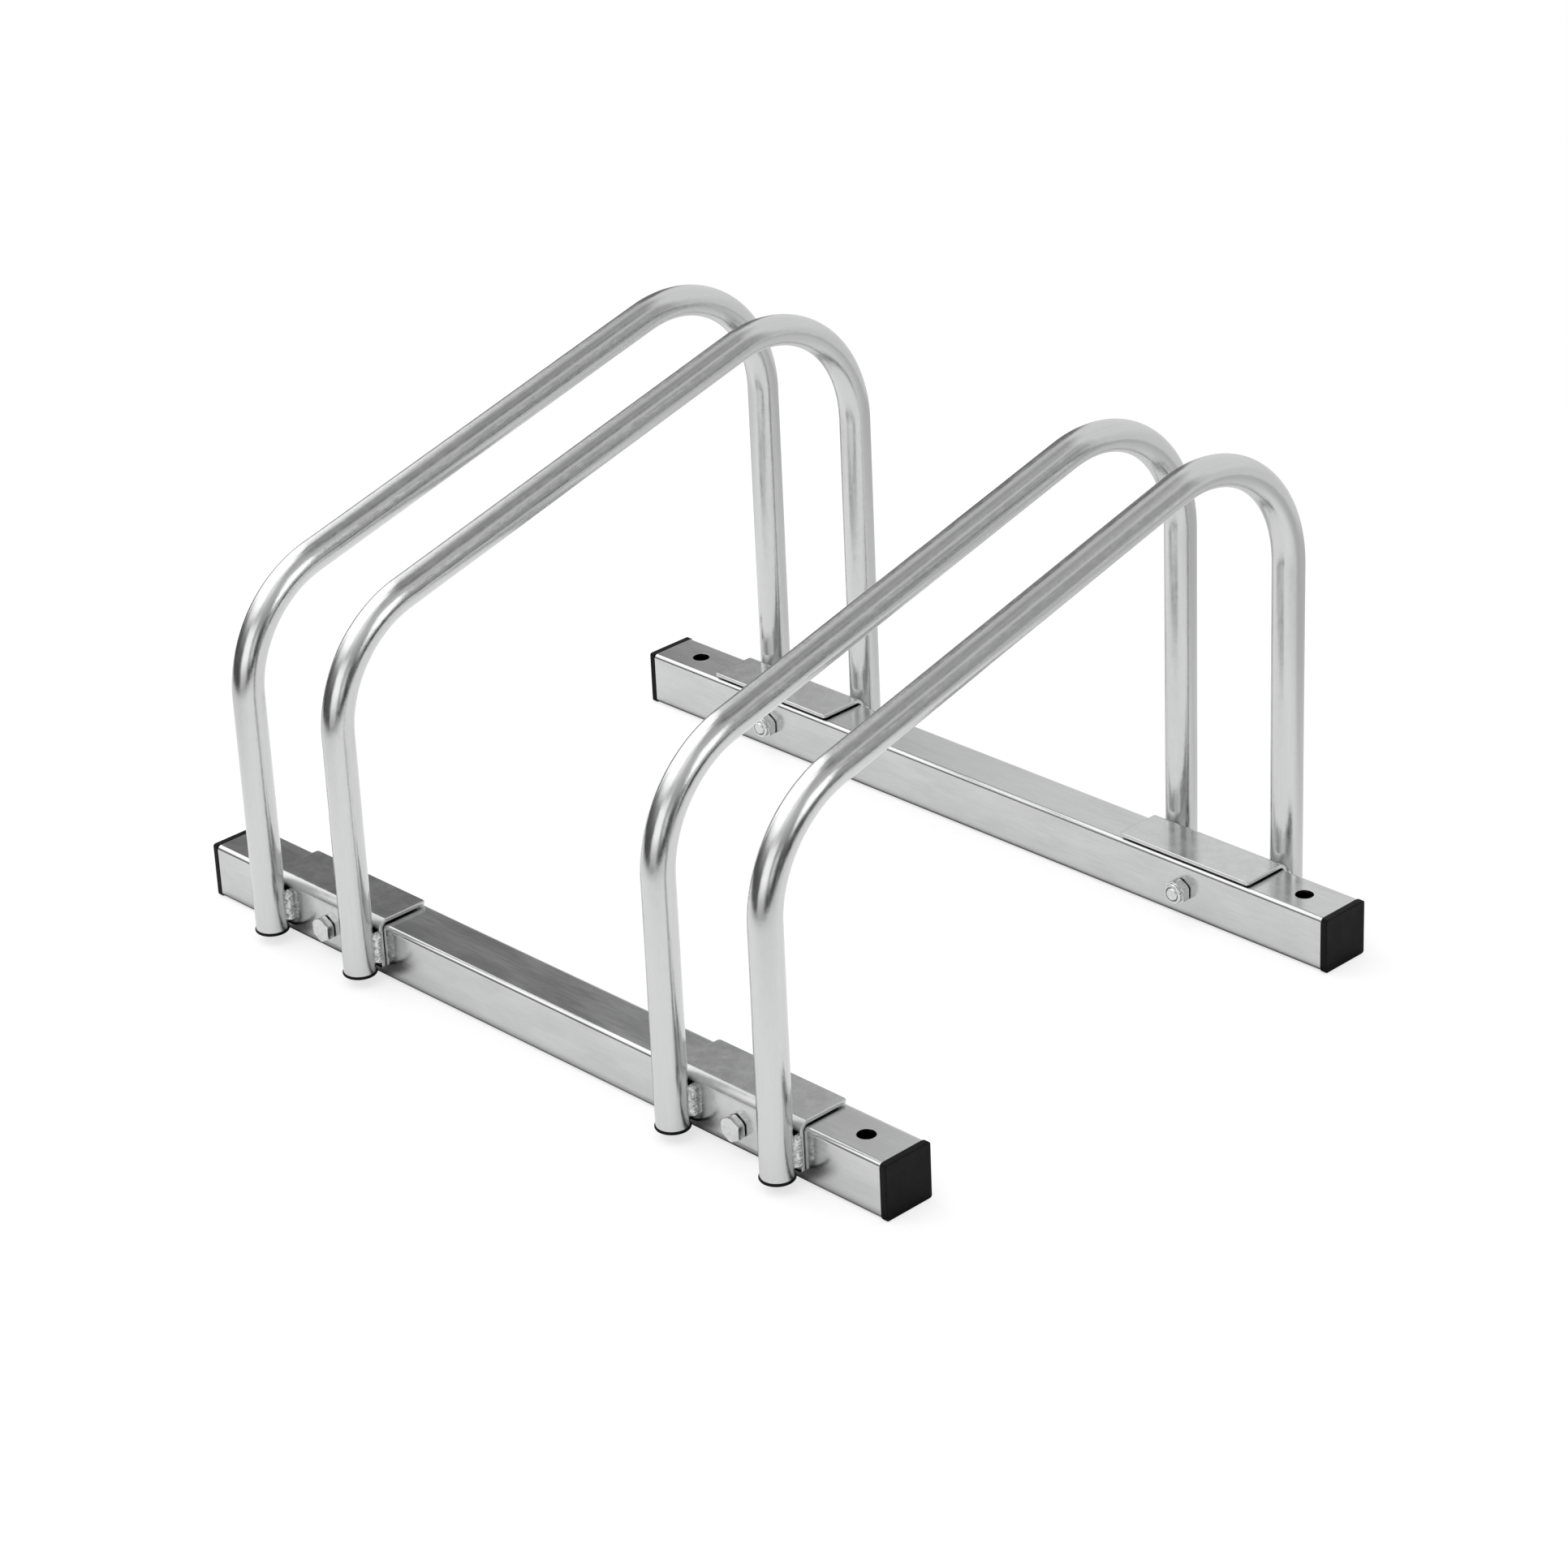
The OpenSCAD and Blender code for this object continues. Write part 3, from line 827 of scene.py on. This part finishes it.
def plugSections(half, head):
    # (distance out of the rail, half width, corner radius), from the face's middle to the bore
    edge, corner, slope = plugLook["edge"], plugLook["corner"], plugLook["borderSlope"]
    border, sunk = half - plugLook["border"], head - plugLook["dish"]
    sections = [
        (sunk, border * plugLook["innerRing"], corner),
        (sunk, border - slope, corner),
        (head, border + slope, corner),
        (head, half - edge * plugLook["edgeStart"], corner),
    ]
    for i in range(plugLook["edgeSteps"] + 1):
        turn = i / plugLook["edgeSteps"] * math.pi / 2
        inset, drop = edge * (1 - math.sin(turn)), edge * (1 - math.cos(turn))
        sections.append((head - drop, half - inset, corner - inset * plugLook["edgeCorner"]))
    sections += [(out, half - inset, corner) for out, inset in plugLook["foot"]]
    shank, rib, tight = plugLook["shankHalf"], plugLook["ribHalf"], plugLook["shankCorner"]
    sections.append((0.0, shank, tight))
    end, width = -plugLook["shank"], plugLook["ribWidth"]
    pitch = plugLook["shank"] / plugLook["ribs"]
    for i in reversed(range(plugLook["ribs"])):
        top = end + i * pitch + 2 * width
        foot = top - width
        ribbed = [(top, shank), (top - plugLook["ribSlope"], rib), (foot, rib), (foot, shank)]
        sections += [(out, wide, tight) for out, wide in ribbed]
    bore = shank - plugLook["shankWall"]
    sections += [(end, shank, tight), (end, bore, tight), (0.0, bore, tight)]
    return sections


def addPlug(side, end):
    node = "rail_plug_" + side + "_" + end
    railLow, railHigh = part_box(side + "_rail")
    middle = (railLow + railHigh) / 2
    half = (railHigh.z - railLow.z) / 2
    low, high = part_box(node)
    start = railHigh.x if end == "right" else railLow.x
    head = high.x - start if end == "right" else start - low.x
    segments = plugLook["segments"]
    points = []
    sections = plugSections(half, head)
    for out, wide, radius in sections:
        for p in roundSquare(wide, radius, segments):
            points.append(Vector((start + ends[end] * out, middle.y + p.x, middle.z + p.y)))
    faces = cappedFaces(len(sections), 4 * (segments + 1))
    sharp = plugLook["sharpAngle"]
    piece = makePiece("plug_" + side + "_" + end, points, faces, materials["plug"], sharp)
    evenNormals(piece)
    dress(piece, node)


for sideName, endName in corners:
    addPlug(sideName, endName)
print("plugs moulded")


# Angle brackets

bracketLook = {
    "thickness": 0.0018,
    "sink": 0.0004,  # of the top plate, towards the rail
    "bendSize": 0.004,
    "bendTurns": [(0, 0), (0.13, 20), (0.8, 60), (1, 90)],  # share of the bend and degrees turned
    "corner": 0.0015,
    "edge": 0.0005,  # radius that rounds the edges
    "boltHole": 0.0033,
    "cutDepth": 0.004,  # of the bolt hole's cutter, to each side
    "bendSteps": 24,
    "cornerSteps": 6,
    "edgeSteps": 3,
    "sharpAngle": 40,
}


def bendProfile():
    # (place, outward direction) from the top plate to the side plate
    steps, size = bracketLook["bendSteps"], bracketLook["bendSize"]
    table = bracketLook["bendTurns"]
    turns = []
    for i in range(steps + 1):
        share = i / steps
        for (before, low), (after, high) in zip(table, table[1:]):
            if before <= share <= after:
                turn = low + (high - low) * (share - before) / (after - before)
        turns.append(math.radians(turn))
    places = [Vector((0, 0))]
    for first, second in zip(turns, turns[1:]):
        middle = (first + second) / 2
        places.append(places[-1] + Vector((-math.cos(middle), -math.sin(middle))))
    scaleX, scaleY = size / -places[-1].x, size / -places[-1].y
    return [(Vector((size + p.x * scaleX, p.y * scaleY)), Vector((-math.sin(t), math.cos(t))))
            for p, t in zip(places, turns)]


def bracketRow(topWidth, sideHeight, halfLength, inset, depth):
    # One closed row of (X, folded place), at an inset from the outline and a depth under the face
    corner, steps = bracketLook["corner"], bracketLook["cornerSteps"]
    sink = Vector((0, -bracketLook["sink"]))
    arc = []
    for i in range(steps + 1):
        turn = i / steps * math.pi / 2
        radius = corner - inset
        arc.append((radius * math.sin(turn) - corner, radius * math.cos(turn) - corner))
    half = []
    for wide, along in arc:
        half.append((halfLength + wide, sink + Vector((topWidth + along, -depth))))
    for place, outward in bendProfile():
        half.append((halfLength - inset, sink + place - depth * outward))
    for wide, along in reversed(arc):
        half.append((halfLength + wide, Vector((depth, -sideHeight - along))))
    return half + [(-x, place) for x, place in reversed(half)]


def addBracket(side, end):
    node = "bracket_" + side + "_" + end
    low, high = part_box(node)
    sign = sides[side]
    outerY = low.y if side == "front" else high.y
    middleX = (low.x + high.x) / 2
    edge, steps = bracketLook["edge"], bracketLook["edgeSteps"]
    layers = []
    for i in range(steps + 1):
        turn = i / steps * math.pi / 2
        layers.append((edge * (1 - math.sin(turn)), edge * (1 - math.cos(turn))))
    layers += [(inset, bracketLook["thickness"] - depth) for inset, depth in reversed(layers)]
    points = []
    for inset, depth in layers:
        row = bracketRow(high.y - low.y, high.z - low.z, (high.x - low.x) / 2, inset, depth)
        points += [Vector((middleX + x, outerY - sign * p.x, high.z + p.y)) for x, p in row]
    count = len(row)
    faces = ringFaces(len(layers), count, False)
    for first in (0, len(points) - count):
        for i in range(count // 2 - 1):
            faces.append(tuple(first + j for j in (i, i + 1, count - 2 - i, count - 1 - i)))
    piece = makePiece("bracketPlate_" + side + "_" + end, points, faces, materials["bracket"])
    lying = boltMatrix(middleX, outerY, side, end)
    cutter = holeCutter(bracketLook["boltHole"], bracketLook["cutDepth"], lying)
    cutAway(piece, [cutter], bracketLook["sharpAngle"])
    evenNormals(piece)
    dress(piece, node)


for sideName, endName in corners:
    addBracket(sideName, endName)
print("brackets folded")


# Bolts and nuts

boltLook = {
    "flats": 0.005,  # half the width across the flats
    "softCorner": 2.0,  # degrees of each corner that are worn round
    "faceRadius": 0.0053,  # of the circle that the chamfer leaves on a face
    "chamfer": 30,  # degrees
    "edge": 0.00012,
    "headHeight": 0.004,
    "hollow": [(0.0017, 0.00008), (0.0039, 0.00006)],  # (radius, depth) in the head's face
    "hollowRim": (0.00045, 0.00002),  # inset from the face's edge, and depth
    "seatHeight": 0.0005,  # the narrower ring under the head
    "seatRadius": 0.0037,
    "thread": 0.003,
    "threadDepth": 0.00042,
    "threadPitch": 0.001,
    "threadLength": 0.016,
    "threadSteps": 8,  # for each turn
    "point": 0.0007,  # length of the thread's tapered end
    "pointTaper": 0.8,
    "pointRadius": 0.5,  # the end face's, as a share of the thread's
    "columns": 72,
    "sharpAngle": 24,
}

nutLook = {
    "height": 0.0062,
    "hexHeight": 0.0042,
    "seatHeight": 0.0005,
    "seatRadius": 0.004,
    "bore": 0.00305,
    "boreChamfer": 0.0004,
    "pocket": 0.00375,
    "pocketLow": 0.0046,
    "pocketHigh": 0.0058,
    "collar": 0.0046,
    # (inset, height over the hexagon) of the groove at the collar's foot
    "groove": [(0.0002, 0.00005), (0.0003, 0.0002), (0.00022, 0.00036), (0.0, 0.0005)],
    "shoulder": 0.00085,  # radius that rounds the collar's top
    "shoulderSteps": 8,
    "lip": 0.0034,
    "lipEdge": 0.0001,
}


def hexRadius(turn):
    half = math.radians(30)
    phase = (turn + half) % (2 * half) - half
    soft = math.radians(boltLook["softCorner"])
    corner = boltLook["flats"] / math.cos(half - soft) * math.cos(soft)
    return min(boltLook["flats"] / math.cos(phase), corner / math.cos(half - abs(phase)))


def hexFace(inset, height):
    # A row on the hexagon's flat face, a little inside its edge or the chamfer's circle
    return lambda turn: (min(hexRadius(turn), boltLook["faceRadius"]) - inset, height)


def hexEdge(height, way, inset, drop):
    # A row at the foot of the chamfer that cuts the hexagon's corners; way is 1 at the upper end
    def at(turn):
        radius = hexRadius(turn)
        cut = max(0.0, radius - boltLook["faceRadius"]) * math.tan(math.radians(boltLook["chamfer"]))
        return (radius - inset, height - way * (cut + drop))
    return at


def fixed(radius, height):
    return lambda turn: (radius, height)


def spin(rows, matrix):
    # Each row gives a radius and a height for every turn
    points = []
    for row in rows:
        for i in range(boltLook["columns"]):
            turn = 2 * math.pi * i / boltLook["columns"]
            radius, height = row(turn)
            points.append(matrix @ Vector((radius * math.cos(turn), radius * math.sin(turn), height)))
    return points


def boltRows(length):
    # From the head's face, at the height of the head, to the thread's end below zero
    top, seat, edge = boltLook["headHeight"], boltLook["seatHeight"], boltLook["edge"]
    mid = edge * roundingMiddle
    rimInset, rimDepth = boltLook["hollowRim"]
    rows = [fixed(radius, top - depth) for radius, depth in boltLook["hollow"]]
    rows += [
        hexFace(rimInset, top - rimDepth),
        hexFace(edge, top),
        hexEdge(top, 1, mid, mid),
        hexEdge(top, 1, 0.0, edge),
        hexEdge(seat, -1, 0.0, edge),
        hexFace(edge, seat),
        fixed(boltLook["seatRadius"], seat),
        fixed(boltLook["seatRadius"], 0.0),
    ]
    thread, depth, pitch = boltLook["thread"], boltLook["threadDepth"], boltLook["threadPitch"]
    start = -length + boltLook["threadLength"]
    rows += [fixed(thread, 0.0), fixed(thread, start)]
    steps = round(boltLook["threadLength"] / pitch * boltLook["threadSteps"])
    point = boltLook["point"]

    def threadRow(height):
        def at(turn):
            phase = (height / pitch + turn / (2 * math.pi)) % 1
            groove = depth * (1 - abs(2 * phase - 1))
            ease = min(1.0, (height + length) / point)
            crest = thread - (1 - ease) * point * boltLook["pointTaper"]
            return (min(thread - groove, crest), height)
        return at

    for i in range(1, steps + 1):
        rows.append(threadRow(-length + boltLook["threadLength"] * (1 - i / steps)))
    rows.append(fixed(thread * boltLook["pointRadius"], -length))
    return rows


def nutRows():
    hexTop, top, seat = nutLook["hexHeight"], nutLook["height"], nutLook["seatHeight"]
    collar, lip, bore = nutLook["collar"], nutLook["lip"], nutLook["bore"]
    edge, mid = boltLook["edge"], boltLook["edge"] * roundingMiddle
    rows = [
        fixed(bore, nutLook["boreChamfer"]),
        fixed(bore + nutLook["boreChamfer"], 0.0),
        fixed(nutLook["seatRadius"], 0.0),
        fixed(nutLook["seatRadius"], seat),
        hexFace(edge, seat),
        hexEdge(seat, -1, 0.0, edge),
        hexEdge(hexTop, 1, 0.0, edge),
        hexEdge(hexTop, 1, mid, mid),
        hexFace(edge, hexTop),
    ]
    rows += [fixed(collar - inset, hexTop + height) for inset, height in nutLook["groove"]]
    shoulder, steps = nutLook["shoulder"], nutLook["shoulderSteps"]
    for i in range(steps + 1):
        turn = i / steps * math.pi / 2
        inset, drop = shoulder * (1 - math.cos(turn)), shoulder * (1 - math.sin(turn))
        rows.append(fixed(collar - inset, top - drop))
    rows += [
        fixed(lip + nutLook["lipEdge"], top),
        fixed(lip, top - nutLook["lipEdge"]),
        fixed(lip, nutLook["pocketHigh"]),
        fixed(nutLook["pocket"], nutLook["pocketHigh"]),
        fixed(nutLook["pocket"], nutLook["pocketLow"]),
        fixed(bore, nutLook["pocketLow"]),
    ]
    return rows


def addBolt(side, end):
    node = "bolt_" + side + "_" + end
    low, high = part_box(node)
    sign = sides[side]
    head = boltLook["headHeight"]
    plateY = low.y + head if side == "front" else high.y - head
    length = high.y - low.y - head
    spot = Vector(((low.x + high.x) / 2, plateY, (low.z + high.z) / 2))
    matrix = Matrix.Translation(spot) @ Matrix.Rotation(-sign * math.pi / 2, 4, "X")
    rows = boltRows(length)
    points, faces = spin(rows, matrix), cappedFaces(len(rows), boltLook["columns"])
    sharp = boltLook["sharpAngle"]
    piece = makePiece("hexBolt_" + side + "_" + end, points, faces, materials["fastener"], sharp)
    dress(piece, node)


def addNut(side, end):
    node = "nut_" + side + "_" + end
    low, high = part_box(node)
    sign = sides[side]
    seatY = low.y if side == "front" else high.y
    spot = Vector(((low.x + high.x) / 2, seatY, (low.z + high.z) / 2))
    matrix = Matrix.Translation(spot) @ Matrix.Rotation(sign * math.pi / 2, 4, "X")
    rows = nutRows()
    points, faces = spin(rows, matrix), ringFaces(len(rows), boltLook["columns"], True)
    sharp = boltLook["sharpAngle"]
    piece = makePiece("lockNut_" + side + "_" + end, points, faces, materials["fastener"], sharp)
    dress(piece, node)


for sideName, endName in corners:
    addBolt(sideName, endName)
    addNut(sideName, endName)
print("bolts and nuts turned")


# Weld beads

weldLook = {
    "low": 0.0082,
    "high": 0.0227,
    "rows": 60,
    "curveSteps": 10,
    "gap": 0.0002,  # between the leg and the plate
    "tubeTurn": 55,  # degrees round the tube to the bead's edge
    "plateReach": 0.0071,
    "bulge": (0.0078, 0.0049),
    # noise along the bead: its scale, and its size in degrees, metres or as a share
    "tubeWobble": (420, 7),
    "plateWobble": (260, 0.0006),
    "lump": (700, 0.1),
    "grain": (1500, 3, 0.0002),  # scales along and across, size
    "ripple": (0.0016, 0.12),  # spacing, and swell as a share
    "root": 0.0008,  # how deep the bead's back lies in the plate
    "rootInset": 0.0006,
    "rootInner": 0.0042,
    "rootInTube": 0.92,  # as a share of the tube's radius
    "core": (0.0052, 0.0062),  # what the section shrinks to at both ends
    "endLength": 0.0014,
    "endSize": 0.25,
    "seeds": (370.0, 11.3, 5.1),  # factors of the leg's X, its side and the bead's way
    "sharpAngle": 50,
}


def beadSection(height, seed):
    # Points of the bead's outline: X away from the leg, Y towards the plate, from the tube's middle
    def waver(key, layer):
        scale, size = weldLook[key]
        return size * noise.noise(Vector((height * scale, seed, layer)))

    radius = hoopLook["radius"]
    turn = math.radians(weldLook["tubeTurn"] + waver("tubeWobble", 0))
    start = radius * Vector((math.sin(turn), math.cos(turn)))
    end = Vector((weldLook["plateReach"] + waver("plateWobble", 5), radius + weldLook["gap"]))
    spacing, swell = weldLook["ripple"]
    ripple = abs(math.sin(height / spacing * math.pi + seed))
    mid = Vector(weldLook["bulge"]) * (1 + waver("lump", 9) + swell * ripple)
    along, across, size = weldLook["grain"]
    points = []
    steps = weldLook["curveSteps"]
    for i in range(steps + 1):
        t = i / steps
        p = (1 - t) ** 2 * start + 2 * t * (1 - t) * mid + t ** 2 * end
        grain = noise.noise(Vector((height * along, t * across, seed))) * size * math.sin(math.pi * t)
        points.append(p + p.normalized() * grain)
    deep = radius + weldLook["root"]
    points.append(Vector((end.x - weldLook["rootInset"], deep)))
    points.append(Vector((weldLook["rootInner"], deep)))
    points.append(start * weldLook["rootInTube"])
    return points


def endSize(fromEnd):
    # The section's size near an end of the bead, which is rounded like a ball
    inward = 1 - min(1.0, fromEnd / weldLook["endLength"])
    least = weldLook["endSize"]
    return least + (1 - least) * math.sqrt(max(0.0, 1 - inward ** 2))


def addWelds(side, end):
    node = "welds_" + side + "_" + end
    sign = sides[side]
    plateLow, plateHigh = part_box("bracket_" + side + "_" + end)
    legY = plateLow.y if side == "front" else plateHigh.y
    legY += sign * (hoopLook["radius"] + weldLook["gap"])
    low, high, rows = weldLook["low"], weldLook["high"], weldLook["rows"]
    seeds, core = weldLook["seeds"], Vector(weldLook["core"])
    points, faces = [], []
    for place in ("outer", "inner"):
        legLow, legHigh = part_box("hoop_" + end + "_" + place)
        legX = (legLow.x + legHigh.x) / 2
        for way in (-1, 1):
            seed = seeds[0] * legX + seeds[1] * sign + seeds[2] * way
            first = len(points)
            for i in range(rows + 1):
                share = i / rows
                height = low + (high - low) * share
                size = endSize(min(share, 1 - share) * (high - low))
                outline = beadSection(height, seed)
                for p in outline:
                    q = core + (p - core) * size
                    points.append(Vector((legX + way * q.x, legY - sign * q.y, height)))
            faces += cappedFaces(rows + 1, len(outline), first)
    sharp = weldLook["sharpAngle"]
    piece = makePiece("weldBeads_" + side + "_" + end, points, faces, materials["weld"], sharp)
    dress(piece, node)


for sideName, endName in corners:
    addWelds(sideName, endName)
print("welds laid")


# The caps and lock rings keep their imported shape

for sideName in sides:
    for hoopName in hoopNames:
        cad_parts["cap_" + sideName + "_" + hoopName].data.materials[0] = materials["cap"]
for sideName, endName in corners:
    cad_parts["nut_ring_" + sideName + "_" + endName].data.materials[0] = materials["ring"]
print("caps and rings finished")
